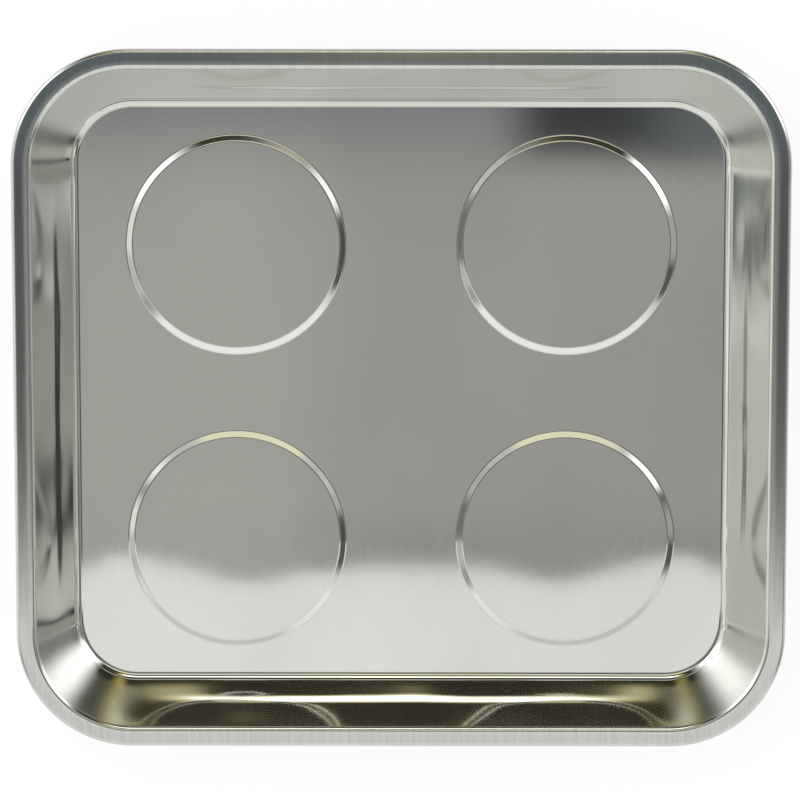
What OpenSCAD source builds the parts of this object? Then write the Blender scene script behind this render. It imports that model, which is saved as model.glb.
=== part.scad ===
// Magnetic parts tray: a stainless pressing that stands on four rubber-booted ring magnets.
// Sizes are in millimetres, +Z is up and the front edge faces -Y.
// The origin is on the bench, under the middle of the tray.

/* [Tray pressing] */
// Overall width of the tray, side to side
tray_w = 300; // [262:1:380]
// Overall length of the tray, front to rear
tray_l = 272; // [246:1:350]
// Height of the flange above the floor
well_h = 30.5; // [20:0.5:45]
// How far a wall leans out between the floor and the flange
wall_lean = 13.7; // [8:0.1:18]
// Radius of the corners at the outer edge
corner_r = 45; // [34:1:60]
// Thickness of the stainless sheet
sheet_t = 0.8; // [0.5:0.1:1.2]
// Radius of the bend between the floor and the walls, on the upper face
floor_bend_r = 3.75; // [2:0.25:6]

/* [Flange] */
// Width of the flange, from the line of the wall to the outer edge
flange_w = 7.5; // [7.25:0.25:12]
// Radius of the bend between the walls and the flange, on the upper face
rim_bend_r = 2.2; // [1.4:0.1:3]
// Radius of the slight droop across the outer part of the flange, on the upper face
droop_r = 36; // [20:1:40]
// Angle through which the flange droops before its lip
droop_angle = 6.2; // [3:0.1:6.9]
// Radius of the lip that turns the outer edge down, on the upper face
lip_r = 1.6; // [1.4:0.1:2]
// Straight drop below the lip
edge_drop = 1.2; // [0.4:0.1:4]

/* [Raised discs] */
// Height of the raised discs above the floor
disc_rise = 0.7; // [0.5:0.1:2]
// Width in plan of the sloping ring round a disc
disc_slope_w = 2.4; // [1.8:0.1:5]
// Radius of the bends at the foot and at the top of the sloping ring, on the upper face
disc_bend_r = 2; // [1.4:0.1:4]
// Width of the floor between a disc and the side wall
disc_side_gap = 20.6; // [8:0.1:30]
// Width of the floor between a disc and the front or rear wall
disc_end_gap = 13.1; // [8:0.1:20]

/* [Magnets] */
// Outer diameter of the ring magnets
magnet_d = 72; // [60:0.5:80]
// Bore of the ring magnets
magnet_bore_d = 28; // [24:0.5:40]
// Height of the ring magnets
magnet_h = 10; // [8:0.5:15]
// Chamfer on the edges of the ring magnets
magnet_chamfer = 0.6; // [0.2:0.1:1.5]
// Thickness of the steel pole plates
plate_t = 2; // [1:0.25:4]

/* [Rubber boots] */
// Thickness of the side wall of a boot
boot_wall = 3; // [1.5:0.25:6]
// Thickness of the rubber under a magnet
boot_base = 2; // [1:0.25:4]
// Radius of the lower edge of a boot
boot_edge_r = 1.5; // [0.5:0.1:2.5]

/* [Fasteners] */
// Diameter of the weld studs
stud_d = 6; // [5:0.5:7]
// How far the welded flange of a stud stands out past its shank
stud_flange_lip = 0.75; // [0.5:0.05:2]
// Thickness of the welded flange of a stud
stud_flange_t = 1.2; // [0.8:0.1:1.8]
// Chamfer on the tip of a stud
stud_chamfer = 0.6; // [0.2:0.1:1.2]
// Length of a stud past its nut
stud_end = 1; // [0.5:0.1:1.5]
// Height of the tip of a stud above the bench
stud_tip_z = 0.5; // [0.2:0.1:1]
// Outer diameter of the washers
washer_d = 18; // [14:0.5:20]
// Thickness of the washers
washer_t = 1.6; // [1:0.1:2]
// Width of the nuts across the flats
nut_flats = 10; // [9:0.5:13]
// Height of the nuts
nut_h = 5; // [3:0.25:5.5]
// Height of the chamfer on the corners of the nuts
nut_chamfer = 0.6; // [0.2:0.1:1]

/* [Clearances] */
// Gap between a boot and the edge of the hollow under its disc
hollow_gap = 1.3; // [0.3:0.1:3]
// Gap round a magnet and its pole plate in the rubber
magnet_gap = 0.2; // [0.05:0.05:0.5]
// Gap round a stud and its flange in the rubber
stud_gap = 0.3; // [0.1:0.05:0.6]
// Gap between a stud and the bore of its washer
washer_gap = 0.2; // [0.05:0.05:0.4]
// Gap between a stud and the bore of its nut
nut_gap = 0.1; // [0.05:0.05:0.2]
// Gap round a washer in the recess of the boot
recess_gap = 1; // [0.5:0.1:2]

/* [Hidden] */
$fn = 96;

// Places of the magnets: a name, then the side on X and on Y
STATIONS = [["front_left", -1, -1], ["front_right", 1, -1], ["rear_left", -1, 1], ["rear_right", 1, 1]];
PIECES = ["boot", "magnet", "pole_plate", "weld_stud", "washer", "nut"];

// Corners of the tray, in order round it: the side on X and on Y
CORNERS = [[1, 1], [-1, 1], [-1, -1], [1, -1]];

// Levels above the bench
plate_z = boot_base + magnet_h;
seat_z = plate_z + plate_t;
floor_z = seat_z - disc_rise + sheet_t;
nut_z = stud_tip_z + stud_end;
washer_z = nut_z + nut_h;
recess_z = washer_z + washer_t;
stud_flange_z = seat_z - stud_flange_t;

// Wall and flange
wall_angle = atan2(well_h, wall_lean);
wall_bend = tan(wall_angle / 2);
wall_straight = norm([well_h, wall_lean]) - (floor_bend_r + rim_bend_r) * wall_bend;
droop_w = droop_r * sin(droop_angle);
lip_w = lip_r * (1 - sin(droop_angle));
flange_flat = flange_w - rim_bend_r * wall_bend - droop_w - lip_w;
floor_edge = flange_w + wall_lean;
corner_floor = corner_r - floor_edge - floor_bend_r * wall_bend;
core_x = tray_w / 2 - corner_r;
core_y = tray_l / 2 - corner_r;

// Rubber boots
boot_r = magnet_d / 2 + magnet_gap + boot_wall;
hub_r = magnet_bore_d / 2 - magnet_gap;
pocket_w = magnet_d / 2 + magnet_gap - hub_r;
recess_r = washer_d / 2 + recess_gap;

// Raised discs
slope_angle = atan2(disc_rise, disc_slope_w);
slope_bend = disc_bend_r * tan(slope_angle / 2);
slope_straight = norm([disc_rise, disc_slope_w]) - 2 * slope_bend;
disc_r = boot_r + hollow_gap + slope_bend + disc_slope_w;
disc_foot_r = disc_r + slope_bend;
disc_x = tray_w / 2 - floor_edge - disc_side_gap - disc_r;
disc_y = tray_l / 2 - floor_edge - disc_end_gap - disc_r;

// Studs
stud_r = stud_d / 2;
stud_flange_r = stud_r + stud_flange_lip;

// Cut edge of a bend: a ring as wide as the sheet is thick
module bend_ring(outer_r) {
    difference() {
        circle(r = outer_r);
        circle(r = outer_r - sheet_t);
    }
}

// Square that covers everything within reach of the origin on one side, +1 right or -1 left
module half_plane(reach, side) {
    translate([side * reach, 0]) square(2 * reach, center = true);
}

// Section of sheet that bends up from level, climbs straight at an angle and bends level again.
// Its upper face starts at the origin, and the children carry on from its end.
module climb(low_r, high_r, angle, straight) {
    low_outer = low_r + sheet_t;
    translate([0, low_r]) {
        intersection() {
            bend_ring(low_outer);
            half_plane(2 * low_outer, 1);
            rotate(angle) half_plane(2 * low_outer, -1);
        }
        rotate(angle) {
            translate([0, -low_outer]) square([straight, sheet_t]);
            translate([straight, -low_r - high_r]) {
                intersection() {
                    bend_ring(high_r);
                    half_plane(2 * high_r, 1);
                    rotate(-angle) half_plane(2 * high_r, -1);
                }
                rotate(-angle) translate([0, high_r]) children();
            }
        }
    }
}

// Section of the flange: a level strip, a slight droop, a tight lip and a short straight drop
module flange_section() {
    translate([0, -sheet_t]) square([flange_flat, sheet_t]);
    translate([flange_flat, -droop_r]) {
        intersection() {
            bend_ring(droop_r);
            half_plane(2 * droop_r, 1);
            rotate(-droop_angle) half_plane(2 * droop_r, -1);
        }
        rotate(-droop_angle) translate([0, droop_r - lip_r]) {
            intersection() {
                bend_ring(lip_r);
                half_plane(2 * lip_r, 1);
                rotate(droop_angle + 90) half_plane(2 * lip_r, 1);
            }
            rotate(droop_angle) translate([lip_r - sheet_t, -edge_drop]) square([sheet_t, edge_drop]);
        }
    }
}

// Section of the tray, from the axis of a corner out to the lip
module tray_section() {
    translate([0, floor_z - sheet_t]) square([corner_floor, sheet_t]);
    translate([corner_floor, floor_z])
        climb(floor_bend_r, rim_bend_r, wall_angle, wall_straight) flange_section();
}

// One rounded corner, with the straight side that follows it round the tray
module corner_and_side(quarter) {
    side_l = 2 * (quarter % 2 == 0 ? core_x : core_y);
    corner = CORNERS[quarter];
    translate([corner[0] * core_x, corner[1] * core_y]) rotate(90 * quarter) {
        rotate_extrude(angle = 90) tray_section();
        translate([-side_l, 0]) rotate([90, 0, 90]) linear_extrude(side_l) tray_section();
    }
}

// Raised disc with its sloping ring
module raised_disc() {
    rotate_extrude() intersection() {
        translate([disc_foot_r, floor_z]) mirror([1, 0])
            climb(disc_bend_r, disc_bend_r, slope_angle, slope_straight)
                translate([0, -sheet_t]) square([disc_foot_r, sheet_t]);
        square([2 * disc_foot_r, 2 * floor_z]);
    }
}

// Puts the children at the place of a magnet
module at_station(station) {
    translate([station[1] * disc_x, station[2] * disc_y]) children();
}

// Flat ring that stands on the bench level
module ring(outer_r, inner_r, height) {
    difference() {
        cylinder(r = outer_r, h = height);
        translate([0, 0, -height]) cylinder(r = inner_r, h = 3 * height);
    }
}

// The stainless pressing
module tray() {
    color("gainsboro") {
        difference() {
            union() {
                translate([-core_x, -core_y, floor_z - sheet_t]) cube([2 * core_x, 2 * core_y, sheet_t]);
                for (quarter = [0:3]) corner_and_side(quarter);
            }
            for (station = STATIONS) at_station(station)
                translate([0, 0, floor_z - 2 * sheet_t]) cylinder(r = disc_foot_r, h = 3 * sheet_t);
        }
        for (station = STATIONS) at_station(station) raised_disc();
    }
}

// Outline of a boot before it is hollowed, from its axis out
module boot_outline() {
    square([boot_r - boot_edge_r, seat_z]);
    translate([boot_r - boot_edge_r, boot_edge_r]) {
        square([boot_edge_r, seat_z - boot_edge_r]);
        intersection() {
            circle(r = boot_edge_r);
            translate([0, -boot_edge_r]) square(boot_edge_r);
        }
    }
}

// Rubber boot: a cup for the magnet, with a hub in the magnet's bore and a recess for the nut
module boot() {
    color("#1c1c1e") rotate_extrude() difference() {
        boot_outline();
        translate([hub_r, boot_base]) square([pocket_w, seat_z]);
        translate([0, -seat_z]) square([stud_r + stud_gap, 3 * seat_z]);
        translate([0, -recess_z]) square([recess_r, 2 * recess_z]);
        translate([0, stud_flange_z - stud_gap]) square([stud_flange_r + stud_gap, seat_z]);
    }
}

// Ferrite ring magnet with chamfered edges
module magnet() {
    outer_r = magnet_d / 2;
    inner_r = magnet_bore_d / 2;
    color("#3a3a3d") translate([0, 0, boot_base]) rotate_extrude() polygon([
        [inner_r + magnet_chamfer, 0],
        [outer_r - magnet_chamfer, 0],
        [outer_r, magnet_chamfer],
        [outer_r, magnet_h - magnet_chamfer],
        [outer_r - magnet_chamfer, magnet_h],
        [inner_r + magnet_chamfer, magnet_h],
        [inner_r, magnet_h - magnet_chamfer],
        [inner_r, magnet_chamfer]
    ]);
}

// Steel ring between the magnet and the underside of the disc
module pole_plate() {
    color("lightslategray") translate([0, 0, plate_z]) ring(magnet_d / 2, magnet_bore_d / 2, plate_t);
}

// Stud welded to the underside of the disc by its flange
module weld_stud() {
    color("silver") rotate_extrude() polygon([
        [0, stud_tip_z],
        [stud_r - stud_chamfer, stud_tip_z],
        [stud_r, stud_tip_z + stud_chamfer],
        [stud_r, stud_flange_z],
        [stud_flange_r, stud_flange_z],
        [stud_flange_r, seat_z],
        [0, seat_z]
    ]);
}

// Large washer that carries the boot
module washer() {
    color("lightgray") translate([0, 0, washer_z]) ring(washer_d / 2, stud_r + washer_gap, washer_t);
}

// Hexagon nut with chamfered corners
module nut() {
    corner = nut_flats / 2 / cos(30);
    face_r = corner - nut_chamfer / tan(30);
    color("silver") translate([0, 0, nut_z]) difference() {
        intersection() {
            cylinder(r = corner, h = nut_h, $fn = 6);
            rotate_extrude() polygon([
                [0, 0],
                [face_r, 0],
                [corner, nut_chamfer],
                [corner, nut_h - nut_chamfer],
                [face_r, nut_h],
                [0, nut_h]
            ]);
        }
        translate([0, 0, -nut_h]) cylinder(r = stud_r + nut_gap, h = 3 * nut_h);
    }
}

tray();
for (station = STATIONS) at_station(station) {
    boot();
    magnet();
    pole_plate();
    weld_stud();
    washer();
    nut();
}
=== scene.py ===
"""Scene of the magnetic parts tray: the pressed sheet, its four magnet feet, and the studio."""

import logging
import math
from dataclasses import dataclass
from enum import Enum
from functools import cached_property

import bpy
import numpy as np
from bpy.types import ID, Material, Node, NodeTree, Object
from bpy.types import NodeSocket as Socket
from mathutils import Matrix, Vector
from mathutils.geometry import delaunay_2d_cdt


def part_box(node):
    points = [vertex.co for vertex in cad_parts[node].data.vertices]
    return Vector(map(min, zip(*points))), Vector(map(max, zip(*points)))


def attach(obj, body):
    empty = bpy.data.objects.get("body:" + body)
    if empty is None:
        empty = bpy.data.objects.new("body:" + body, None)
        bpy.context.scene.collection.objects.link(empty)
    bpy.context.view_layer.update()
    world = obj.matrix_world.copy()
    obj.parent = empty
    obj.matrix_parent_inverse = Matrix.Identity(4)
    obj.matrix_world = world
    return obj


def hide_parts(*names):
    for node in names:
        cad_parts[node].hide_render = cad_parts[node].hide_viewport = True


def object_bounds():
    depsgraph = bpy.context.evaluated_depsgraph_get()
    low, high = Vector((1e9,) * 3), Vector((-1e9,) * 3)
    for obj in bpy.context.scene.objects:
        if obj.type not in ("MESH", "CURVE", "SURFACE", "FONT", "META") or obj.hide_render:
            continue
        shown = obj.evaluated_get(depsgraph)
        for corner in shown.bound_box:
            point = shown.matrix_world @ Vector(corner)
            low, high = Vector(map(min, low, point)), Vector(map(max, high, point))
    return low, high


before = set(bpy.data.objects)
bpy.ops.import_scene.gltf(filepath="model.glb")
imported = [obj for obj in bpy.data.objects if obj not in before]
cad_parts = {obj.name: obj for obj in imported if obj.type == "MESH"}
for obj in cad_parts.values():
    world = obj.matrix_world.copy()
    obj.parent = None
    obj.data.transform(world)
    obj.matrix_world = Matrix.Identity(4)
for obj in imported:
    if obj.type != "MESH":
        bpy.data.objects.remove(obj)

CAD_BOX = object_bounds()
MM = 0.001
FEET = ("front_left", "front_right", "rear_left", "rear_right")
log = logging.getLogger("parts_tray")

Triple = tuple[float, float, float]
Span = tuple[float, float]
Face = tuple[int, ...]


class Slot(Enum):
    """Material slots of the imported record."""

    STAINLESS = "stainless"
    RUBBER = "boot_rubber"
    FERRITE = "ferrite"
    PLATED = "plated_steel"
    FASTENER = "fastener_steel"


class CardKind(Enum):
    """How a studio card is bounded: by azimuth and height, or by the direction's X and Y."""

    STANDING = "standing"
    OVERHEAD = "overhead"


def smooth(value: np.ndarray) -> np.ndarray:
    """Smoothstep of values that are clipped to 0 and 1."""
    t = np.clip(value, 0.0, 1.0)
    return t * t * (3.0 - 2.0 * t)


def ring_faces(rows: int, spokes: int) -> list[Face]:
    """Faces between rings of points.

    Args:
        rows: Count of rings.
        spokes: Points round each ring.

    Returns:
        Four-sided faces over points that are counted ring by ring.
    """
    faces: list[Face] = []
    for start in range(0, (rows - 1) * spokes, spokes):
        for k in range(spokes):
            this, after = start + k, start + (k + 1) % spokes
            faces.append((this, after, after + spokes, this + spokes))
    return faces


def add_object(name: str, data: ID) -> Object:
    """Adds an object to the scene.

    Args:
        name: Its name.
        data: Its mesh, lamp or camera.

    Returns:
        The object.
    """
    new = bpy.data.objects.new(name, data)
    bpy.context.collection.objects.link(new)
    return new


class NodeGraph:
    """Short calls for building a node tree."""

    def __init__(self, tree: NodeTree) -> None:
        """Takes the tree of a material or of the world and empties it."""
        self.tree = tree
        tree.nodes.clear()

    def node(
        self, kind: str, values: dict[str | int, object] | None = None, **settings: object
    ) -> Node:
        """Adds a node.

        Args:
            kind: Blender's name of the node type, after ShaderNode.
            values: Numbers, colours or sockets for its inputs, by name or place.
            settings: Properties of the node to set.

        Returns:
            The new node.
        """
        new = self.tree.nodes.new("ShaderNode" + kind)
        for name, value in settings.items():
            setattr(new, name, value)
        for key, value in (values or {}).items():
            if isinstance(value, Socket):
                self.tree.links.new(value, new.inputs[key])
            else:
                new.inputs[key].default_value = value
        return new

    def math(self, operation: str, *values: object) -> Socket:
        """Adds a math operation on numbers or sockets."""
        return self.node("Math", dict(enumerate(values)), operation=operation).outputs[0]

    def ramp(
        self, value: Socket, low: float, high: float, to_low: float = 0.0, to_high: float = 1.0
    ) -> Socket:
        """Adds a smooth map of a value from one range to another."""
        values = dict(enumerate((value, low, high, to_low, to_high)))
        return self.node("MapRange", values, interpolation_type="SMOOTHSTEP").outputs[0]

    def mix(self, share: Socket, first: Triple | Socket, second: Triple | Socket) -> Socket:
        """Adds a mix of two colours.

        Args:
            share: Share of the second colour.
            first: Colour at a share of 0.
            second: Colour at a share of 1.

        Returns:
            The mixed colour.
        """
        values = {"Factor": share}
        for key, colour in ((6, first), (7, second)):
            values[key] = colour if isinstance(colour, Socket) else (*colour, 1.0)
        return self.node("Mix", values, data_type="RGBA", clamp_factor=True).outputs[2]

    def split(self, kind: str) -> tuple[Socket, ...]:
        """Adds texture coordinates of a kind that Blender names, as X, Y and Z."""
        source = self.node("TexCoord").outputs[kind]
        return tuple(self.node("SeparateXYZ", {0: source}).outputs)

    def texture(
        self, kind: str, scale: Triple, turn: float, values: dict[str, object], **settings: object
    ) -> Node:
        """Adds a texture at object coordinates.

        Args:
            kind: Blender's name of the texture.
            scale: Cells per metre along each axis.
            turn: Turn about the vertical axis, in degrees.
            values: More values for its inputs.
            settings: Properties of the node to set.

        Returns:
            The texture node.
        """
        place = {
            "Vector": self.node("TexCoord").outputs["Object"],
            "Rotation": (0.0, 0.0, math.radians(turn)),
            "Scale": tuple(1.0 / item for item in scale),
        }
        spot = self.node("Mapping", place, vector_type="TEXTURE").outputs[0]
        return self.node(kind, {"Vector": spot, "Scale": 1.0, **values}, **settings)

    def noise(
        self, scale: Triple, detail: float, roughness: float = 0.5, turn: float = 0.0
    ) -> Socket:
        """Adds noise with a count of octaves and the share of each finer one."""
        values = {"Detail": detail, "Roughness": roughness}
        return self.texture("TexNoise", scale, turn, values).outputs[0]

    def cells(self, scale: Triple, feature: str = "F1", turn: float = 0.0) -> Node:
        """Adds a cell texture with a kind of distance that Blender names."""
        return self.texture("TexVoronoi", scale, turn, {}, feature=feature)

    def bump(self, height: Socket, depth: float, under: Socket | None = None) -> Socket:
        """Adds a bump.

        Args:
            height: Height from 0 to 1.
            depth: Height of 1, in metres.
            under: Normal of a bump below this one.

        Returns:
            The bumped normal.
        """
        values = {"Strength": 1.0, "Distance": depth, "Height": height}
        if under is not None:
            values["Normal"] = under
        return self.node("Bump", values).outputs[0]


@dataclass(frozen=True)
class Finish:
    """A procedural finish. Scales are in cells per metre, and depths and heights in metres.

    A band is the range of a texture, a height or a distance over which a change comes in.
    """

    name: str

    def make(self) -> Material:
        """Builds the material.

        Returns:
            The material with its nodes linked.
        """
        material = bpy.data.materials.new(self.name)
        material.use_nodes = True
        graph = NodeGraph(material.node_tree)
        shader = graph.node("BsdfPrincipled", self.sockets(graph))
        graph.node("OutputMaterial", {"Surface": shader.outputs[0]})
        return material

    def sockets(self, graph: NodeGraph) -> dict[str, object]:
        """Adds the finish's own nodes and returns the values of the shader's inputs."""
        raise NotImplementedError


@dataclass(frozen=True)
class RolledStainless(Finish):
    """Bright rolled stainless sheet: fine grain along it, light scratches, specks and smears."""

    colour: Triple = (0.65, 0.648, 0.622)
    worn: Triple = (0.60, 0.598, 0.575)
    brushed: Triple = (0.51, 0.52, 0.52)
    grain_scale: Triple = (5200.0, 60.0, 60.0)
    grain_band: Span = (0.3, 0.72)
    grain_depth: float = 8e-8
    brush_scale: Triple = (800.0, 35.0, 300.0)
    brush_band: Span = (0.3, 0.8)
    brush_share: Span = (0.2, 0.8)
    brush_depth: float = 5e-7
    smear_scale: Triple = (14.0, 9.0, 30.0)
    smear_band: Span = (0.35, 0.75)
    roughness: Span = (0.032, 0.05)
    wall_roughness: float = 0.045
    wall_band: Span = (0.0165, 0.0215)
    flange_roughness: float = 0.035
    flange_band: Span = (0.0435, 0.0443)
    corner_roughness: float = 0.17
    corner_axis: Span = (0.105, 0.091)
    corner_band: Span = (-0.004, 0.012)
    scratch_runs: tuple[tuple[float, Triple], ...] = (
        (13.0, (260.0, 9.0, 60.0)),
        (-34.0, (190.0, 12.0, 60.0)),
    )
    scratch_band: Span = (0.0, 0.02)
    gap_scale: Triple = (30.0, 22.0, 40.0)
    gap_band: Span = (0.62, 0.76)
    scratch_roughness: float = 0.03
    speck_scale: Triple = (150.0,) * 3
    speck_band: Span = (0.02, 0.05)
    speck_bar: float = 0.92
    speck_roughness: float = 0.12
    mark_depth: float = 2.5e-7

    def sockets(self, graph: NodeGraph) -> dict[str, object]:
        """Adds grain, smears, scratches and specks.

        Args:
            graph: The material's nodes.

        Returns:
            Values for the shader.
        """
        grain = graph.noise(self.grain_scale, detail=3.0, roughness=0.6)
        brush = graph.noise(self.brush_scale, detail=3.0, roughness=0.65)
        smear = graph.noise(self.smear_scale, detail=4.0, roughness=0.55)
        height = graph.split("Object")[2]
        wall, flange = graph.ramp(height, *self.wall_band), graph.ramp(height, *self.flange_band)
        side = graph.math("SUBTRACT", wall, flange)
        corner = graph.math("MULTIPLY", side, self.corners(graph))
        scratch, specks = self.scratches(graph), self.specks(graph)
        tone = graph.mix(graph.ramp(smear, *self.smear_band), self.colour, self.worn)
        streaks = graph.ramp(brush, *self.brush_band, *self.brush_share)
        streaks = graph.math("MULTIPLY", flange, streaks)
        rough = graph.ramp(grain, *self.grain_band, *self.roughness)
        layers = (
            (wall, self.wall_roughness),
            (corner, self.corner_roughness),
            (flange, self.flange_roughness),
            (scratch, self.scratch_roughness),
            (specks, self.speck_roughness),
        )
        for share, extra in layers:
            rough = graph.math("ADD", rough, graph.math("MULTIPLY", share, extra))
        level = graph.math("SUBTRACT", 1.0, wall)
        normal = graph.bump(graph.math("MULTIPLY", grain, level), self.grain_depth)
        normal = graph.bump(graph.math("MULTIPLY", brush, flange), self.brush_depth, normal)
        normal = graph.bump(graph.math("ADD", scratch, specks), self.mark_depth, normal)
        return {
            "Base Color": graph.mix(streaks, tone, self.brushed),
            "Roughness": rough,
            "Normal": normal,
            "Metallic": 1.0,
        }

    def corners(self, graph: NodeGraph) -> Socket:
        """Marks the drawn corners, where the sheet is duller.

        Args:
            graph: The material's nodes.

        Returns:
            1 in a corner and 0 along the sides.
        """
        x, y = (
            graph.math("SUBTRACT", graph.math("ABSOLUTE", value), axis)
            for value, axis in zip(graph.split("Object"), self.corner_axis)
        )
        return graph.ramp(graph.math("MINIMUM", x, y), *self.corner_band)

    def scratches(self, graph: NodeGraph) -> Socket:
        """Marks thin broken scratches in two directions.

        Args:
            graph: The material's nodes.

        Returns:
            1 on a scratch and 0 beside it.
        """
        lines = []
        for turn, scale in self.scratch_runs:
            cells = graph.cells(scale, "DISTANCE_TO_EDGE", turn)
            line = graph.ramp(cells.outputs["Distance"], *self.scratch_band, 1.0, 0.0)
            gate = graph.noise(self.gap_scale, detail=2.0, turn=turn)
            lines.append(graph.math("MULTIPLY", line, graph.ramp(gate, *self.gap_band)))
        return graph.math("MAXIMUM", *lines)

    def specks(self, graph: NodeGraph) -> Socket:
        """Marks scattered specks of under half a millimetre.

        Args:
            graph: The material's nodes.

        Returns:
            1 on a speck and 0 beside it.
        """
        cells = graph.cells(self.speck_scale)
        dot = graph.ramp(cells.outputs["Distance"], *self.speck_band, 1.0, 0.0)
        parts = graph.node("SeparateColor", {0: cells.outputs["Color"]})
        chosen = graph.math("GREATER_THAN", parts.outputs[0], self.speck_bar)
        return graph.math("MULTIPLY", dot, chosen)


@dataclass(frozen=True)
class MouldedRubber(Finish):
    """Black moulded rubber with a fine skin and some dust."""

    colour: Triple = (0.018, 0.018, 0.019)
    dust: Triple = (0.06, 0.058, 0.055)
    skin_scale: Triple = (2600.0,) * 3
    skin_depth: float = 2.0e-5
    dust_scale: Triple = (90.0, 90.0, 160.0)
    dust_band: Span = (0.5, 0.8)
    dull_band: Span = (0.3, 0.75)
    roughness: Span = (0.55, 0.8)
    gloss: float = 0.4

    def sockets(self, graph: NodeGraph) -> dict[str, object]:
        """Adds the skin and the dust.

        Args:
            graph: The material's nodes.

        Returns:
            Values for the shader.
        """
        skin = graph.noise(self.skin_scale, detail=3.0)
        dust = graph.noise(self.dust_scale, detail=5.0, roughness=0.6)
        return {
            "Base Color": graph.mix(graph.ramp(dust, *self.dust_band), self.colour, self.dust),
            "Roughness": graph.ramp(dust, *self.dull_band, *self.roughness),
            "Normal": graph.bump(skin, self.skin_depth),
            "Specular IOR Level": self.gloss,
        }


@dataclass(frozen=True)
class PressedFerrite(Finish):
    """Sintered ferrite: charcoal grey with ground faces and small pits."""

    colour: Triple = (0.05, 0.05, 0.053)
    ground: Triple = (0.085, 0.085, 0.088)
    grain_scale: Triple = (900.0, 90.0, 900.0)
    grain_band: Span = (0.35, 0.7)
    dull_band: Span = (0.3, 0.7)
    grain_depth: float = 1.0e-5
    pit_scale: Triple = (420.0,) * 3
    pit_band: Span = (0.08, 0.2)
    pit_depth: float = 4.0e-5
    roughness: Span = (0.42, 0.62)

    def sockets(self, graph: NodeGraph) -> dict[str, object]:
        """Adds the ground grain and the pits.

        Args:
            graph: The material's nodes.

        Returns:
            Values for the shader.
        """
        grain = graph.noise(self.grain_scale, detail=4.0)
        cells = graph.cells(self.pit_scale).outputs["Distance"]
        pit = graph.ramp(cells, *self.pit_band, 1.0, 0.0)
        return {
            "Base Color": graph.mix(graph.ramp(grain, *self.grain_band), self.colour, self.ground),
            "Roughness": graph.ramp(grain, *self.dull_band, *self.roughness),
            "Normal": graph.bump(pit, -self.pit_depth, graph.bump(grain, self.grain_depth)),
        }


@dataclass(frozen=True)
class ZincPlate(Finish):
    """Zinc plating on steel: mottled crystals with a faint tint."""

    colour: Triple = (0.66, 0.67, 0.68)
    tint: Triple = (0.60, 0.62, 0.66)
    crystal_scale: Triple = (620.0,) * 3
    crystal_band: Span = (0.1, 0.8)
    cloud_scale: Triple = (130.0,) * 3
    cloud_band: Span = (0.35, 0.68)
    grain_scale: Triple = (1800.0, 1800.0, 300.0)
    grain_depth: float = 6.0e-6
    roughness: Span = (0.24, 0.42)

    def sockets(self, graph: NodeGraph) -> dict[str, object]:
        """Adds the crystals and the tint.

        Args:
            graph: The material's nodes.

        Returns:
            Values for the shader.
        """
        crystals = graph.cells(self.crystal_scale).outputs["Distance"]
        cloud = graph.noise(self.cloud_scale, detail=4.0)
        grain = graph.noise(self.grain_scale, detail=3.0)
        return {
            "Base Color": graph.mix(graph.ramp(cloud, *self.cloud_band), self.colour, self.tint),
            "Roughness": graph.ramp(crystals, *self.crystal_band, *self.roughness),
            "Normal": graph.bump(grain, self.grain_depth),
            "Metallic": 1.0,
        }


@dataclass(frozen=True)
class Dent:
    """A shallow swell of the floor, or a hollow with a rise below 0. Sizes are in mm."""

    x: float
    y: float
    spread: float
    rise: float


@dataclass(frozen=True)
class Wave:
    """A slight ripple round the drawn walls: its count, its height in mm and its phase."""

    count: int
    height: float
    phase: float


@dataclass
class Surface:
    """A patch of the sheet's upper face: points, unit normals, and faces over the points."""

    points: np.ndarray
    normals: np.ndarray
    faces: list[Face]


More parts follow.
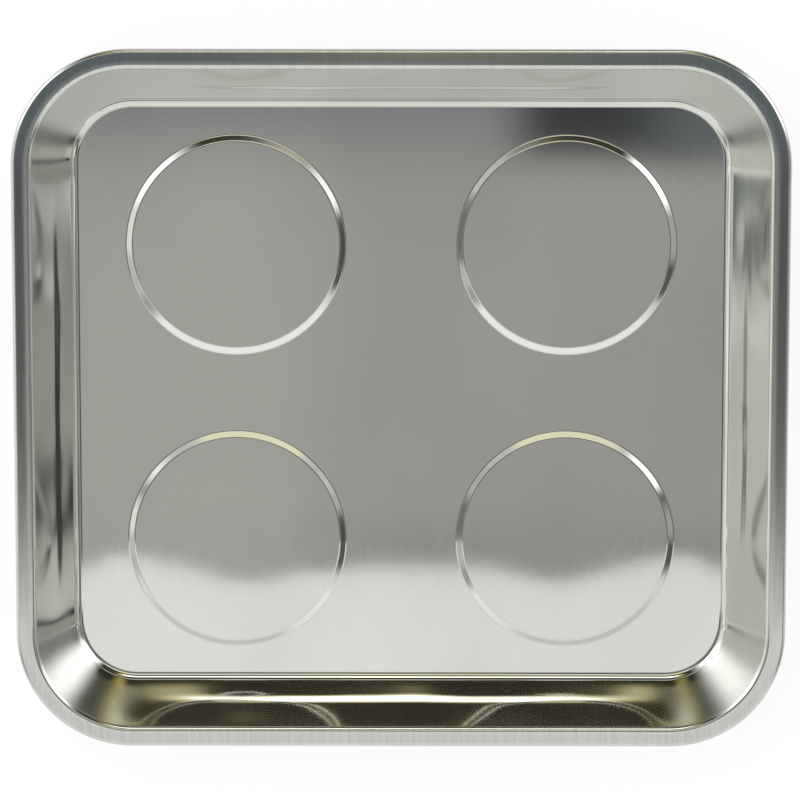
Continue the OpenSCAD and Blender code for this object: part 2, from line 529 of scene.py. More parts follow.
@dataclass
class SheetPressing:
    """The pressed stainless tray. Sizes are in mm and angles in degrees.

    The first sizes are those of the solid it stands for. The bow, the ripples, the dents and the
    eases are too slight for the solid. The last values set how fine the mesh is.
    """

    width: float = 300.0
    length: float = 272.0
    corner_r: float = 45.0
    well_h: float = 30.5
    wall_lean: float = 13.7
    sheet_t: float = 0.8
    floor_z: float = 14.1
    floor_bend_r: float = 3.75
    flange_w: float = 7.5
    rim_bend_r: float = 2.2
    droop_r: float = 36.0
    droop_angle: float = 6.2
    lip_r: float = 1.6
    edge_drop: float = 1.2
    disc_side_gap: float = 20.6
    disc_end_gap: float = 13.1
    hollow_r: float = 40.5
    disc_rise: float = 0.7
    disc_slope_w: float = 2.4
    disc_bend_r: float = 2.0
    bow_angle: float = 6.0
    bow_height: float = 13.0
    bow_spread: float = 2.2
    bow_fade: float = 60.0
    turn_ease: float = 6.0
    waves: tuple[Wave, ...] = (Wave(11, 0.13, 0.4), Wave(21, 0.05, 2.1), Wave(34, 0.025, 4.0))
    front_ease: float = 0.06
    front_start: float = 0.45
    fade_w: float = 14.0
    dents: tuple[Dent, ...] = (
        Dent(-60.0, -57.0, 18.0, -0.055),
        Dent(-31.0, -60.0, 9.0, -0.014),
        Dent(62.0, -57.0, 19.0, -0.05),
        Dent(-65.0, 58.0, 28.0, -0.03),
        Dent(65.0, 58.0, 28.0, -0.03),
        Dent(-116.0, -56.0, 22.0, 0.06),
        Dent(116.0, -56.0, 22.0, 0.06),
    )
    bend_points: int = 13
    wall_points: int = 33
    droop_points: int = 6
    corner_points: int = 25
    side_step: float = 3.0
    floor_step: float = 5.0
    disc_bend_points: int = 8
    disc_rings: int = 11
    disc_spokes: int = 128
    bow_points: int = 2001
    turn_points: int = 4096
    slope_step: float = 0.05
    merge_gap: float = 1e-6

    @property
    def core(self) -> Span:
        """Distance from the middle to the corners' axes, along X and Y."""
        return self.width / 2 - self.corner_r, self.length / 2 - self.corner_r

    @property
    def wall_angle(self) -> float:
        """Rise of the wall from level, in radians."""
        return math.atan2(self.well_h, self.wall_lean)

    @property
    def wall_foot(self) -> float:
        """Distance from a corner's axis to where the wall and the floor would meet."""
        return self.corner_r - self.flange_w - self.wall_lean

    @property
    def floor_end(self) -> float:
        """Distance from a corner's axis to where the floor starts to bend."""
        return self.wall_foot - self.floor_bend_r * math.tan(self.wall_angle / 2)

    @property
    def disc_tilt(self) -> float:
        """Slope of a disc's ring, in radians."""
        return math.atan2(self.disc_rise, self.disc_slope_w)

    @property
    def disc_bend(self) -> float:
        """Width in plan that each bend of a disc takes beyond its slope's end."""
        return self.disc_bend_r * math.tan(self.disc_tilt / 2)

    @property
    def disc_r(self) -> float:
        """Radius of a disc at the foot of its slope, beyond the hollow for its boot."""
        return self.hollow_r + self.disc_bend + self.disc_slope_w

    @property
    def disc_place(self) -> Span:
        """Distance from the middle to the discs' middles, along X and Y."""
        edge = self.flange_w + self.wall_lean + self.disc_r
        x = self.width / 2 - edge - self.disc_side_gap
        return x, self.length / 2 - edge - self.disc_end_gap

    @property
    def wall_run(self) -> float:
        """Length of the straight part of the wall's section."""
        bends = (self.floor_bend_r + self.rim_bend_r) * math.tan(self.wall_angle / 2)
        return math.hypot(self.well_h, self.wall_lean) - bends

    @staticmethod
    def arc(x: float, z: float, r: float, slopes: np.ndarray) -> list[tuple[float, ...]]:
        """Rows of the section at a bend, whose radius is below 0 if its axis is above."""
        return [(x - r * math.sin(a), z + r * math.cos(a), a, -1.0) for a in slopes]

    @cached_property
    def section(self) -> np.ndarray:
        """Upper face from the floor out to the cut edge.

        Returns:
            Rows of distance from the corner's axis, height, slope angle and share of the wall's
            length (below 0 off the wall).
        """
        wall = self.wall_angle
        top = self.floor_z + self.well_h
        slopes = np.linspace(0.0, wall, self.bend_points)
        low = self.floor_z + self.floor_bend_r
        rows = self.arc(self.floor_end, low, -self.floor_bend_r, slopes)
        rim_x = self.wall_foot + self.wall_lean + self.rim_bend_r * math.tan(wall / 2)
        rim = self.arc(rim_x, top - self.rim_bend_r, self.rim_bend_r, slopes[::-1])
        start, end = np.array(rows[-1][:2]), np.array(rim[0][:2])
        for share in np.linspace(0.0, 1.0, self.wall_points)[1:-1]:
            rows.append((*(start + (end - start) * share), wall, share))
        rows += rim
        droop = math.radians(self.droop_angle)
        sin, cos = math.sin(droop), math.cos(droop)
        flat_end = self.corner_r - self.lip_r * (1 - sin) - self.droop_r * sin
        axis_z = top - self.droop_r
        slopes = np.linspace(0.0, -droop, self.droop_points)
        rows += self.arc(flat_end, axis_z, self.droop_r, slopes)
        lip_x = flat_end + (self.droop_r - self.lip_r) * sin
        lip_z = axis_z + (self.droop_r - self.lip_r) * cos
        slopes = np.linspace(-droop, -math.pi / 2, self.bend_points)
        rows += self.arc(lip_x, lip_z, self.lip_r, slopes[1:])
        rows.append((lip_x + self.lip_r, lip_z - self.edge_drop, -math.pi / 2, -1.0))
        return np.array(rows)

    @cached_property
    def stations(self) -> np.ndarray:
        """Places round the tray where the section is set.

        Returns:
            Rows of the axis's X and Y, the outward direction's X and Y, the share of the wall's
            bow and its rate.
        """
        core_x, core_y = self.core
        rows: list[tuple[float, ...]] = []
        corners = ((1, 1, 0.0), (-1, 1, 90.0), (-1, -1, 180.0), (1, -1, 270.0))
        for side_x, side_y, first in corners:
            x, y = side_x * core_x, side_y * core_y
            for a in np.radians(np.linspace(first, first + 90.0, self.corner_points)):
                rows.append((x, y, math.cos(a), math.sin(a), 0.0, 0.0))
            turn = math.radians(first + 90.0)
            cos, sin = math.cos(turn), math.sin(turn)
            run = 2 * (core_x if abs(sin) > abs(cos) else core_y)
            for s in np.linspace(0.0, run, int(run / self.side_step) + 1)[1:-1]:
                t = min(s / self.bow_fade, (run - s) / self.bow_fade, 1.0)
                rate = 6 * t * (1 - t) / self.bow_fade * (1.0 if s < run / 2 else -1.0)
                rows.append((x - sin * s, y + cos * s, cos, sin, float(smooth(np.array(t))), rate))
        return np.array(rows)

    @cached_property
    def course(self) -> np.ndarray:
        """Distance of each station along the walls' middle, then the whole way round."""
        across = self.wall_foot + self.wall_lean / 2
        middle = self.stations[:, :2] + self.stations[:, 2:4] * across
        steps = np.linalg.norm(np.roll(middle, -1, 0) - middle, axis=1)
        return np.concatenate(((0.0,), np.cumsum(steps)))

    @staticmethod
    def in_plan(x: np.ndarray, y: np.ndarray) -> np.ndarray:
        """Level vectors, one for each station."""
        return np.stack((x, y, np.zeros(len(x))), 1)[:, None, :]

    def eased_turn(self) -> np.ndarray:
        """Outward directions of the walls' normals, which ease into and out of each corner.

        Returns:
            Directions in plan, one for each station.
        """
        turn = np.unwrap(np.arctan2(self.stations[:, 3], self.stations[:, 2]))
        run = self.course
        count, whole = self.turn_points, run[-1]
        fine = np.arange(count) * whole / count
        rate = 2 * math.pi / whole
        swing = np.interp(fine, run, np.append(turn, turn[0] + 2 * math.pi)) - rate * fine
        cycles = np.fft.rfftfreq(count, whole / count)
        waves = np.fft.rfft(swing) * np.exp(-2 * (math.pi * cycles * self.turn_ease) ** 2)
        eased = np.interp(run[:-1], fine, np.fft.irfft(waves, count), period=whole)
        eased += rate * run[:-1]
        return self.in_plan(np.cos(eased), np.sin(eased))

    def ripples(self) -> tuple[np.ndarray, np.ndarray, np.ndarray]:
        """Slight ripples that drawing leaves in the walls.

        Returns:
            Offset along the normal in mm, its rate round the tray and its rate up the wall.
        """
        share = self.section[None, :, 3]
        on = share >= 0
        fade = np.where(on, np.sin(math.pi * share) ** 2, 0.0)
        climb = np.where(on, math.pi * np.sin(2 * math.pi * share) / self.wall_run, 0.0)
        place = self.course[:-1, None]
        height, rate = np.zeros_like(place), np.zeros_like(place)
        for wave in self.waves:
            turn = 2 * math.pi * wave.count / self.course[-1]
            phase = turn * place + wave.phase
            height += wave.height * np.sin(phase)
            rate += wave.height * turn * np.cos(phase)
        return height * fade, rate * fade, height * climb

    def bow(self) -> tuple[np.ndarray, ...]:
        """Slight stepped bow of a straight wall, with both ends held.

        Returns:
            Offset along the normal in mm, and the change of slope in radians.
        """
        fine = np.linspace(0.0, 1.0, self.bow_points)
        low = self.floor_bend_r * (1 - math.cos(self.wall_angle))
        height = low + fine * self.wall_run * math.sin(self.wall_angle)
        angle = np.exp(-((height - self.bow_height) / self.bow_spread) ** 2)
        angle *= math.radians(self.bow_angle)
        angle -= angle.mean() * (6 * fine * (1 - fine))
        steps = (angle[1:] + angle[:-1]) / 2 * self.wall_run / (self.bow_points - 1)
        offset = np.concatenate(((0.0,), np.cumsum(steps)))
        share = self.section[None, :, 3]
        on = share >= 0
        return tuple(np.where(on, np.interp(share, fine, item), 0.0) for item in (offset, angle))

    def sweep(self) -> tuple[Surface, int, int]:
        """Walls, bends and flange.

        Returns:
            The patch, the count of stations and the count of points in a section.
        """
        axis_x, axis_y, out_x, out_y, share, rate = self.stations.T
        distance, height, tilt = self.section.T[:3, None, :, None]
        share, rate = share[:, None, None], rate[:, None, None]
        offset, change = (item[..., None] for item in self.bow())
        ripple, round_rate, up_rate = (item[..., None] for item in self.ripples())
        out, along = self.in_plan(out_x, out_y), self.in_plan(-out_y, out_x)
        up = np.array((0.0, 0.0, 1.0))
        turned = self.eased_turn()
        slope = tilt + change * share
        sin, cos = np.sin(slope), np.cos(slope)
        normals = cos * up - sin * turned - along * (offset * rate + round_rate)
        normals = normals - (cos * turned + sin * up) * up_rate
        normals /= np.linalg.norm(normals, axis=-1, keepdims=True)
        points = self.in_plan(axis_x, axis_y) + out * distance + up * height
        points = points + (np.cos(tilt) * up - np.sin(tilt) * out) * (offset * share + ripple)
        stations, count = len(self.stations), len(self.section)
        faces: list[Face] = []
        for k in range(stations):
            this, after = k * count, (k + 1) % stations * count
            for j in range(count - 1):
                faces.append((this + j, this + j + 1, after + j + 1, after + j))
        return Surface(points.reshape(-1, 3), normals.reshape(-1, 3), faces), stations, count

    def edge_room(self, x: np.ndarray, y: np.ndarray) -> np.ndarray:
        """Distance from places in the tray to where the floor starts to bend.

        Args:
            x: Places along X in mm.
            y: Places along Y in mm.

        Returns:
            Distances in mm, below 0 beyond the floor.
        """
        qx, qy = np.abs(x) - self.core[0], np.abs(y) - self.core[1]
        both = np.hypot(np.maximum(qx, 0.0), np.maximum(qy, 0.0))
        return self.floor_end - np.where((qx > 0) & (qy > 0), both, np.maximum(qx, qy))

    def unevenness(self, x: np.ndarray, y: np.ndarray) -> np.ndarray:
        """Height of the floor's shallow dents, which fade out before the wall.

        Args:
            x: Places along X in mm.
            y: Places along Y in mm.

        Returns:
            Heights in mm.
        """
        total = np.zeros_like(x)
        for dent in self.dents:
            away = (x - dent.x) ** 2 + (y - dent.y) ** 2
            total += dent.rise * np.exp(-away / dent.spread ** 2)
        return total * smooth(self.edge_room(x, y) / self.fade_w)

    def rest_on_floor(
        self, spots: np.ndarray, slope_x: np.ndarray | float, slope_y: np.ndarray | float
    ) -> tuple[np.ndarray, np.ndarray]:
        """Adds the dents to places of the floor.

        Args:
            spots: Points without dents, in mm.
            slope_x: Slope along X without dents.
            slope_y: Slope along Y without dents.

        Returns:
            Points and unit normals.
        """
        x, y, z = spots.T
        d = self.slope_step
        gx = slope_x + (self.unevenness(x + d, y) - self.unevenness(x - d, y)) / (2 * d)
        gy = slope_y + (self.unevenness(x, y + d) - self.unevenness(x, y - d)) / (2 * d)
        points = np.stack((x, y, z + self.unevenness(x, y)), 1)
        normals = np.stack((-gx, -gy, np.ones_like(x)), 1)
        return points, normals / np.linalg.norm(normals, axis=1, keepdims=True)

    @cached_property
    def disc_profile(self) -> np.ndarray:
        """Raised disc from its foot to near its middle.

        Returns:
            Rows of radius, rise above the floor and slope outwards.
        """
        foot, top = self.disc_r + self.disc_bend, self.hollow_r
        tilts = np.linspace(0.0, self.disc_tilt, self.disc_bend_points)
        side, rise = self.disc_bend_r * np.sin(tilts), self.disc_bend_r * (1 - np.cos(tilts))
        lower = np.stack((foot - side, rise, -np.tan(tilts)), 1)
        upper = np.stack((top + side, self.disc_rise - rise, -np.tan(tilts)), 1)[::-1]
        flat = [(r, self.disc_rise, 0.0) for r in np.linspace(top, 0.0, self.disc_rings)[1:-1]]
        return np.concatenate((lower, upper, flat))

    def disc(self, x: float, y: float) -> Surface:
        """One raised disc.

        Args:
            x: Middle along X in mm.
            y: Middle along Y in mm.

        Returns:
            The patch. Its first points are its foot.
        """
        rows, spokes = self.disc_profile, self.disc_spokes
        turn = np.arange(spokes) * 2 * math.pi / spokes
        cos, sin = np.cos(turn), np.sin(turn)
        ring = rows[:, 0] >= self.disc_r - self.disc_slope_w - self.disc_bend_r
        front = smooth((-sin - self.front_start) / self.front_start)
        ease = 1.0 + self.front_ease * front[None, :] * ring[:, None]
        middle = self.disc_r - self.disc_slope_w / 2
        r = middle + (rows[:, 0, None] - middle) * ease
        z = np.repeat(rows[:, 1, None], spokes, 1)
        spots = np.stack((x + r * cos, y + r * sin, self.floor_z + z), -1).reshape(-1, 3)
        spots = np.concatenate((spots, ((x, y, self.floor_z + self.disc_rise),)))
        slope = rows[:, 2, None] / ease
        slope_x, slope_y = (np.append((slope * part).ravel(), 0.0) for part in (cos, sin))
        points, normals = self.rest_on_floor(spots, slope_x, slope_y)
        faces = ring_faces(len(rows), spokes)
        centre = len(rows) * spokes
        last = centre - spokes
        faces.extend((last + k, last + (k + 1) % spokes, centre) for k in range(spokes))
        return Surface(points, normals, faces)

    def floor(self, outer: np.ndarray, feet: list[np.ndarray]) -> tuple[np.ndarray, list[Face]]:
        """Flat floor between the walls and the discs.

        Args:
            outer: Points of the walls' foot, in order round the tray.
            feet: Points of each disc's foot, in order round it.

        Returns:
            New places inside, and triangles over the outer points, the feet's points and the
            new ones.
        """
        ends = [axis + self.floor_end for axis in self.core]
        lines = (np.arange(-end, end, self.floor_step) for end in ends)
        gx, gy = (grid.ravel() for grid in np.meshgrid(*lines))
        foot = self.disc_profile[0, 0]
        disc_x, disc_y = self.disc_place
        ring = np.hypot(np.abs(gx) - disc_x, np.abs(gy) - disc_y)
        half = self.floor_step / 2
        keep = (self.edge_room(gx, gy) > half) & (ring > foot + half)
        inside = np.stack((gx[keep], gy[keep]), 1)
        loops = [points[:, :2] for points in (outer, *feet)]
        edges, owner, start = [], [], 0
        for number, loop in enumerate(loops):
            edges.extend((start + k, start + (k + 1) % len(loop)) for k in range(len(loop)))
            owner.extend([number] * len(loop))
            start += len(loop)
        owner.extend([0] * len(inside))
        flat = [tuple(spot) for spot in np.concatenate(loops + [inside])]
        _, _, faces, origin, _, _ = delaunay_2d_cdt(flat, edges, [], 0, self.merge_gap)
        index = [source[0] for source in origin]
        kept = []
        for face in faces:
            corners = tuple(index[i] for i in face)
            owners = {owner[i] for i in corners}
            if owners == {0} or len(owners) > 1:
                kept.append(corners)
        return inside, kept

    def build(self) -> Object:
        """Builds the whole sheet as one closed mesh with exact normals.

        Returns:
            The tray.
        """
        sweep, stations, count = self.sweep()
        sides = (-1, 1)
        disc_x, disc_y = self.disc_place
        discs = [self.disc(x * disc_x, y * disc_y) for x in sides for y in sides]
        outer = np.arange(stations) * count
        spokes = self.disc_spokes
        inside, triangles = self.floor(sweep.points[outer], [d.points[:spokes] for d in discs])
        level = np.full((len(inside), 1), self.floor_z)
        spots, ups = self.rest_on_floor(np.concatenate((inside, level), 1), 0.0, 0.0)
        patches = (sweep, *discs)
        starts = np.cumsum([len(patch.points) for patch in patches])
        points = np.concatenate([patch.points for patch in patches] + [spots])
        normals = np.concatenate([patch.normals for patch in patches] + [ups])
        feet = [start + np.arange(spokes) for start in starts[:-1]]
        lookup = np.concatenate([outer] + feet + [starts[-1] + np.arange(len(inside))])
        faces = list(sweep.faces)
        for start, disc in zip(starts[:-1], discs):
            faces.extend(tuple(int(start) + i for i in face) for face in disc.faces)
        faces.extend(tuple(int(lookup[i]) for i in face) for face in triangles)
        faces = self.face_up(points, normals, faces)
        return self.close(points, normals, faces, outer + count - 1)

    @staticmethod
    def face_up(points: np.ndarray, normals: np.ndarray, faces: list[Face]) -> list[Face]:
        """Turns each face so that it looks along its normals.

        Args:
            points: Points of the upper face.
            normals: Their normals.
            faces: Faces in either order.

        Returns:
            Faces in the right order.
        """
        turned = []
        for face in faces:
            a, b, c = points[face[0]], points[face[1]], points[face[2]]
            right = np.dot(np.cross(b - a, c - a), normals[face[1]]) >= 0
            turned.append(face if right else tuple(reversed(face)))
        return turned

    def close(
        self, points: np.ndarray, normals: np.ndarray, faces: list[Face], rim: np.ndarray
    ) -> Object:
        """Adds the underside and the cut edge.

        Args:
            points: Points of the upper face.
            normals: Their normals.
            faces: Upper faces.
            rim: Points along the cut edge, in order round the tray.

        Returns:
            The closed tray.
        """
        size = len(points)
        under = points - normals * self.sheet_t
        all_points = np.concatenate((points, under)) * MM
        all_normals = np.concatenate((normals, -normals))
        lower = [tuple(size + i for i in reversed(face)) for face in faces]
        pairs = zip(rim.tolist(), np.roll(rim, -1).tolist())
        cut = [(a, a + size, b + size, b) for a, b in pairs]
        mesh = bpy.data.meshes.new("tray_sheet")
        mesh.from_pydata([tuple(p) for p in all_points], [], faces + lower + cut)
        mesh.polygons.foreach_set("use_smooth", [True] * len(mesh.polygons))
        corners = np.empty(len(mesh.loops), dtype=np.int32)
        mesh.loops.foreach_get("vertex_index", corners)
        shown = all_normals[corners]
        shown[-4 * len(cut):] = (0.0, 0.0, -1.0)
        mesh.normals_split_custom_set([tuple(n) for n in shown])
        return add_object("tray_sheet", mesh)

    def dress(self, tray: Object, finish: Material) -> None:
        """Gives the tray its finish and puts it in the place of its solid.

        Args:
            tray: The built tray.
            finish: Its material.
        """
        tray.data.materials.append(finish)
        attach(tray, "root")
        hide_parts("tray")


@dataclass
class MagnetFoot:
    """One foot. Its stud gets a thread, and its other pieces keep their solids. Sizes are in mm.

    The thread's crest and flank are shares of its pitch.
    """

    place: str
    pitch: float = 1.0
    thread_depth: float = 0.61
    crest: float = 0.0625
    flank: float = 0.3125
    thread_fade: float = 1.5
    end_chamfer: float = 0.6
    flange_t: float = 1.2
    flange_w: float = 0.75
    flange_chamfer: float = 0.1
    flange_ring: float = 0.15
    seat_gap: float = 1e-4
    sharp_angle: float = 35.0
    spokes: int = 40
    steps: int = 12

    def shank_radius(self, rise: np.ndarray, below: np.ndarray, phase: np.ndarray) -> np.ndarray:
        """Radius of the threaded shank, less its radius over the thread.

        Args:
            rise: Height over the tip in mm.
            below: Distance below the flange in mm.
            phase: Place along the thread, as a share of its pitch.

        Returns:
            Radii in mm.
        """
        depth = np.clip((np.abs(phase % 1.0 - 0.5) - self.crest) / self.flank, 0.0, 1.0)
        thread = -self.thread_depth * depth * smooth(below / self.thread_fade)
        return np.minimum(thread, np.maximum(rise, 0.0) - self.end_chamfer)

    def stud(self) -> Object:
        """Builds the threaded weld stud inside the box of its solid.

        Returns:
            The stud.
        """
        node = "weld_stud_" + self.place
        lo, hi = (np.array(corner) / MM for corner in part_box(node))
        x, y = (lo[0] + hi[0]) / 2, (lo[1] + hi[1]) / 2
        low, high = lo[2], hi[2]
        seat = high - self.flange_t
        shank = np.arange(low, seat, self.pitch / self.steps)
        edges = (seat + self.flange_ring, high - self.flange_chamfer, high)
        z = np.concatenate((shank, (seat - self.seat_gap, seat + self.seat_gap, *edges)))
        n, rows = self.spokes, len(z)
        grid_z, grid_t = np.meshgrid(z, np.arange(n) / n, indexing="ij")
        flange_r = (hi[0] - lo[0]) / 2
        shank_r = self.shank_radius(grid_z - low, seat - grid_z, grid_z / self.pitch - grid_t)
        r = np.where(grid_z > seat, flange_r, flange_r - self.flange_w + shank_r)
        r[-1] -= self.flange_chamfer
        turn = 2 * math.pi * grid_t
        ring = np.stack((x + r * np.cos(turn), y + r * np.sin(turn), grid_z), -1)
        points = np.concatenate((ring.reshape(-1, 3), ((x, y, low), (x, y, high))))
        faces = ring_faces(rows, n)
        last = (rows - 1) * n
        faces.extend(((k + 1) % n, k, rows * n) for k in range(n))
        faces.extend((last + k, last + (k + 1) % n, rows * n + 1) for k in range(n))
        mesh = bpy.data.meshes.new("threaded_stud_" + self.place)
        mesh.from_pydata([tuple(p) for p in points * MM], [], faces)
        mesh.set_sharp_from_angle(angle=math.radians(self.sharp_angle))
        stud = add_object("threaded_stud_" + self.place, mesh)
        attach(stud, "root")
        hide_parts(node)
        return stud

    def dress(self, stud: Object, finishes: dict[Slot, Material]) -> list[str]:
        """Gives the foot's pieces their finishes.

        Args:
            stud: The threaded stud.
            finishes: Material of each slot.

        Returns:
            Names of the pieces.
        """
        stud.data.materials.append(finishes[Slot.FASTENER])
        slots = {
            "boot": Slot.RUBBER,
            "magnet": Slot.FERRITE,
            "pole_plate": Slot.PLATED,
            "washer": Slot.FASTENER,
            "nut": Slot.FASTENER,
        }
        for kind, slot in slots.items():
            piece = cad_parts[f"{kind}_{self.place}"]
            piece.data.materials.clear()
            piece.data.materials.append(finishes[slot])
        return [stud.name] + [f"{kind}_{self.place}" for kind in slots]


@dataclass(frozen=True)
class Card:
    """One patch of the surroundings that the metal mirrors.

    A standing card has azimuth, half width, lower and upper height, and the softness of its sides
    and of its ends, in degrees. An overhead card has its bounds along X and Y and their softness,
    as parts of a unit direction.
    """

    name: str
    kind: CardKind
    bounds: tuple[float, float, float, float, float, float]
    colour: Triple

    def mask(self, graph: NodeGraph, parts: dict[str, Socket]) -> Socket:
        """Share of the card in a direction.

        Args:
            graph: Node tree of the world.
            parts: The direction's X, Y, Z, azimuth and height.

        Returns:
            1 inside the card, 0 outside.
        """
        a, b, c, d, soft_a, soft_b = self.bounds
        if self.kind is CardKind.STANDING:
            off = graph.math("SUBTRACT", parts["azimuth"], a)
            off = graph.math("ABSOLUTE", graph.math("WRAP", off, 180.0, -180.0))
            across = graph.ramp(off, b - soft_a, b + soft_a, 1.0, 0.0)
            return graph.math("MULTIPLY", across, self.band(graph, parts["height"], c, d, soft_b))
        across = self.band(graph, parts["x"], a, b, soft_a)
        along = self.band(graph, parts["y"], c, d, soft_b)
        above = graph.math("GREATER_THAN", parts["z"], 0.0)
        return graph.math("MULTIPLY", graph.math("MULTIPLY", across, along), above)

    @staticmethod
    def band(graph: NodeGraph, value: Socket, low: float, high: float, soft: float) -> Socket:
        """1 between two bounds with soft edges."""
        rise = graph.ramp(value, low - soft, low + soft)
        return graph.math("MULTIPLY", rise, graph.ramp(value, high - soft, high + soft, 1.0, 0.0))


STAND, OVER = CardKind.STANDING, CardKind.OVERHEAD
CARDS = (
    Card("front_white", OVER, (-2, 2, -2, -0.172, 0.1, 0.003), (1.08, 1.1, 1.07)),
    Card("front_upper", OVER, (-0.6, 0.6, -0.46, -0.222, 0.1, 0.006), (0.92, 0.93, 0.9)),
    Card("front_bright", STAND, (-90, 46, 50.5, 61, 6, 1), (1.22, 1.25, 1.19)),
    Card("front_right", STAND, (-27, 8, 49.5, 61, 5, 1), (0.14, 0.15, 0.14)),
    Card("front_left", STAND, (-143, 6, 49.5, 61, 5, 1), (0.48, 0.49, 0.46)),
    Card("front_low", STAND, (-90, 58, -5, 49.5, 8, 1), (1.02, 1.06, 1.03)),
    Card("front_ring", STAND, (-90, 45, 46.6, 49.8, 8, 0.6), (0.82, 0.84, 0.79)),
    Card("left_low", STAND, (180, 26, -5, 55.3, 6, 1.2), (1.07, 1.11, 1.03)),
    Card("left_front", STAND, (-163, 5, 49, 55.3, 3, 1.2), (0.76, 0.78, 0.73)),
    Card("left_upper", STAND, (180, 22, 56.2, 61, 6, 1), (0.24, 0.25, 0.22)),
    Card("left_high", STAND, (180, 26, 62, 72, 8, 1.5), (0.55, 0.57, 0.54)),
    Card("right_low", STAND, (-6, 18, -5, 38, 5, 1), (0.64, 0.65, 0.6)),
    Card("right_far", STAND, (3, 9, -5, 38, 3.5, 1), (0.42, 0.435, 0.41)),
    Card("right_dark", STAND, (-6, 18, 38.2, 60, 5, 1), (0.1, 0.11, 0.1)),
    Card("right_mid", STAND, (0, 16, 47, 55.5, 5, 1.2), (0.52, 0.53, 0.51)),
    Card("right_high", STAND, (-6, 18, 61, 72, 7, 2), (0.5, 0.51, 0.48)),
    Card("right_post", STAND, (-26, 5, 10, 46, 5, 3), (0.18, 0.19, 0.18)),
    Card("left_post", STAND, (-153, 6, 10, 46, 7, 3), (0.33, 0.35, 0.33)),
    Card("left_post_high", STAND, (-155, 6, 46, 60, 7, 3), (0.65, 0.67, 0.63)),
    Card("rear_dark", STAND, (84, 40, -5, 61.2, 8, 0.7), (0.065, 0.062, 0.043)),
    Card("right_edge", STAND, (-15.5, 4, 20, 38, 2.5, 2), (1.1, 1.11, 1.02)),
    Card("right_patch", STAND, (-10.7, 0.8, 32.6, 46, 0.6, 1.2), (0.06, 0.07, 0.08)),
    Card("right_end", STAND, (-4.6, 0.5, 20, 40, 0.6, 2), (1.15, 1.19, 1.18)),
    Card("left_end", STAND, (-172.9, 0.5, 20, 42, 0.5, 2), (1.4, 1.45, 1.42)),
    Card("left_dark", STAND, (-175.4, 1.5, 34, 48, 0.6, 1.5), (0.34, 0.37, 0.38)),
    Card("left_streak", STAND, (-169.2, 0.8, 39.5, 50, 0.7, 1.2), (0.12, 0.13, 0.11)),
    Card("left_dull", STAND, (-171, 1.6, 42, 50, 1.2, 1.5), (0.58, 0.59, 0.54)),
    Card("left_edge", STAND, (-165, 3, 20, 40, 2.5, 2), (1.08, 1.1, 1.02)),
    Card("right_window", STAND, (28, 13, 4, 60, 10, 3), (2.9, 2.98, 2.98)),
    Card("left_window", STAND, (148, 14, 4, 58, 10, 3), (2.75, 2.82, 2.82)),
    Card("right_glow", STAND, (75, 5, 20, 38, 6, 5), (0.72, 0.61, 0.16)),
    Card("left_glow", STAND, (105, 5, 20, 38, 6, 5), (0.58, 0.5, 0.15)),
    Card("rear_low", STAND, (90, 7.5, -5, 31, 3, 1), (0.058, 0.055, 0.038)),
    Card("lamp_glow", STAND, (90, 16, 31, 46, 5, 1.2), (1.3, 1.18, 0.62)),
    Card("lamp", STAND, (90, 12, 33.2, 45, 3.5, 0.8), (3.00, 2.98, 2.8)),
    Card("rear_strip", STAND, (84, 40, 61.4, 77, 8, 0.5), (1.1, 1.07, 0.8)),
    Card("over_dark", OVER, (-0.36, 0.36, -0.172, 0.22, 0.04, 0.003), (0.11, 0.112, 0.112)),
    Card("over_back", OVER, (-0.36, 0.36, -0.04, 0.22, 0.04, 0.012), (0.15, 0.178, 0.19)),
    Card("over_warm", OVER, (-0.03, 0.04, -0.01, 0.22, 0.03, 0.012), (0.28, 0.28, 0.22)),
    Card("over_rear", OVER, (-0.14, 0.14, -0.085, -0.02, 0.02, 0.015), (0.28, 0.305, 0.325)),
    Card("over_grey", OVER, (-0.107, 0.102, -0.172, -0.05, 0.005, 0.018), (0.47, 0.465, 0.44)),
    Card("over_left", OVER, (-0.12, -0.03, -0.172, -0.06, 0.02, 0.02), (0.53, 0.53, 0.5)),
    Card("over_patch", OVER, (0.03, 0.085, -0.056, -0.02, 0.01, 0.006), (0.056, 0.06, 0.066)),
    Card("over_patch_end", OVER, (0.07, 0.13, -0.056, -0.02, 0.015, 0.006), (0.16, 0.18, 0.19)),
    Card("over_white", OVER, (-0.36, 0.36, -0.222, -0.172, 0.04, 0.003), (1.08, 1.1, 1.07)),
)


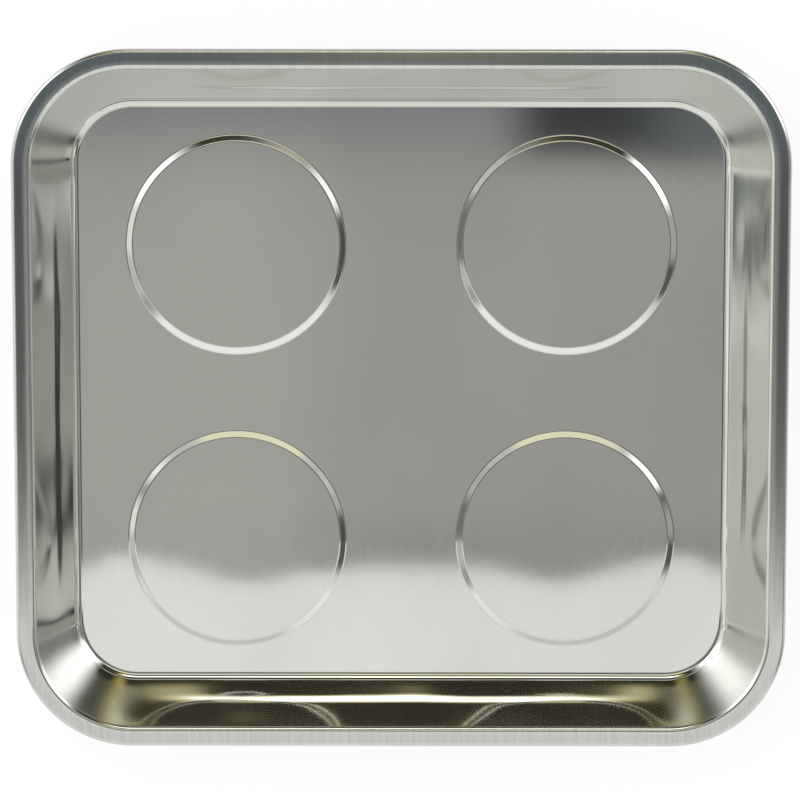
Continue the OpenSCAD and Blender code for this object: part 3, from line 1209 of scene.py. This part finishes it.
@dataclass
class Studio:
    """Pale floor, soft light, the surroundings that the metal mirrors, and the camera."""

    floor_size: float = 6.0
    floor_gap: float = 0.0002
    floor_tone: float = 0.95
    floor_glow: float = 0.85
    soft_light: float = 1.0
    key_power: float = 9.0
    key_size: float = 1.2
    key_place: Triple = (-0.5, 0.5, 1.6)
    key_tilt: float = -17.0
    room: Triple = (0.72, 0.73, 0.71)
    cards: tuple[Card, ...] = CARDS
    lens: float = 157.156
    sensor: float = 36.0
    eye: Triple = (4.50, 169.51, 1383.91)
    right: Triple = (1.0, 0.000724, -0.003741)
    back: Triple = (0.003621, 0.124913, 0.992161)

    def camera(self) -> None:
        """Sets the camera at the photograph's angle."""
        back = np.array(self.back) / np.linalg.norm(self.back)
        right = np.array(self.right) - back * np.dot(self.right, back)
        right /= np.linalg.norm(right)
        up = np.cross(back, right)
        data = bpy.data.cameras.new("camera")
        data.lens, data.sensor_width = self.lens, self.sensor
        rig = add_object("camera", data)
        turn = Matrix((right, up, back)).transposed().to_4x4()
        turn.translation = [value * MM for value in self.eye]
        rig.matrix_world = turn
        bpy.context.scene.camera = rig

    def floor(self) -> None:
        """Lays the pale floor, which shows near white and keeps the tray's shadow."""
        half = self.floor_size / 2
        level = CAD_BOX[0][2] - self.floor_gap
        corners = ((-half, -half), (half, -half), (half, half), (-half, half))
        mesh = bpy.data.meshes.new("floor")
        mesh.from_pydata([(x, y, level) for x, y in corners], [], [(0, 1, 2, 3)])
        floor = add_object("floor", mesh)
        material = bpy.data.materials.new("pale_floor")
        material.use_nodes = True
        graph = NodeGraph(material.node_tree)
        tone = (*(self.floor_tone,) * 3, 1.0)
        matt = graph.node("BsdfDiffuse", {"Color": tone}).outputs[0]
        glow = graph.node("Emission").outputs[0]
        path = graph.node("LightPath").outputs
        seen = graph.math("MAXIMUM", path["Is Camera Ray"], path["Is Glossy Ray"])
        seen = graph.math("MAXIMUM", seen, path["Is Transmission Ray"])
        share = graph.math("MULTIPLY", seen, self.floor_glow)
        both = graph.node("MixShader", {0: share, 1: matt, 2: glow}).outputs[0]
        graph.node("OutputMaterial", {"Surface": both})
        mesh.materials.append(material)

    def surroundings(self) -> None:
        """Fills the world: white to the camera, cards in the metal, even soft light on the rest."""
        world = bpy.data.worlds.new("studio")
        bpy.context.scene.world = world
        world.use_nodes = True
        world.cycles.sampling_method = "NONE"
        graph = NodeGraph(world.node_tree)
        x, y, z = graph.split("Generated")
        degrees = 180.0 / math.pi
        parts = {
            "x": x,
            "y": y,
            "z": z,
            "azimuth": graph.math("MULTIPLY", graph.math("ARCTAN2", y, x), degrees),
            "height": graph.math("MULTIPLY", graph.math("ARCSINE", z), degrees),
        }
        mirrored: Triple | Socket = self.room
        for card in self.cards:
            mirrored = graph.mix(card.mask(graph, parts), mirrored, card.colour)
        path = graph.node("LightPath").outputs
        shown = graph.mix(path["Is Glossy Ray"], (self.soft_light,) * 3, mirrored)
        shown = graph.mix(path["Is Camera Ray"], shown, (1.0, 1.0, 1.0))
        back = graph.node("Background", {"Color": shown}).outputs[0]
        graph.node("OutputWorld", {"Surface": back})

    def key_light(self) -> None:
        """Hangs a large soft lamp over the tray's rear left, for the shadow on the floor."""
        data = bpy.data.lights.new("soft_key", "AREA")
        data.shape, data.size, data.energy = "DISK", self.key_size, self.key_power
        lamp = add_object("soft_key", data)
        lamp.location = self.key_place
        lamp.rotation_euler = (math.radians(self.key_tilt), math.radians(self.key_tilt), 0.0)
        lamp.visible_glossy = lamp.visible_camera = False

    def build(self) -> None:
        """Sets up the whole studio."""
        bpy.context.scene.view_settings.view_transform = "Standard"
        self.camera()
        self.floor()
        self.surroundings()
        self.key_light()


def main() -> None:
    """Builds the studio, the tray and its feet, and reports each piece."""
    logging.basicConfig(level=logging.INFO, format="%(message)s")
    Studio().build()
    bolt_zinc = ZincPlate("fastener_zinc", colour=(0.60, 0.61, 0.62), tint=(0.55, 0.57, 0.61))
    finishes = {
        Slot.STAINLESS: RolledStainless("rolled_stainless").make(),
        Slot.RUBBER: MouldedRubber("moulded_rubber").make(),
        Slot.FERRITE: PressedFerrite("pressed_ferrite").make(),
        Slot.PLATED: ZincPlate("zinc_plate").make(),
        Slot.FASTENER: bolt_zinc.make(),
    }
    pressing = SheetPressing()
    tray = pressing.build()
    pressing.dress(tray, finishes[Slot.STAINLESS])
    log.info("piece %s: %d faces", tray.name, len(tray.data.polygons))
    for place in FEET:
        foot = MagnetFoot(place)
        for name in foot.dress(foot.stud(), finishes):
            log.info("piece %s", name)


if __name__ == "__main__":
    main()
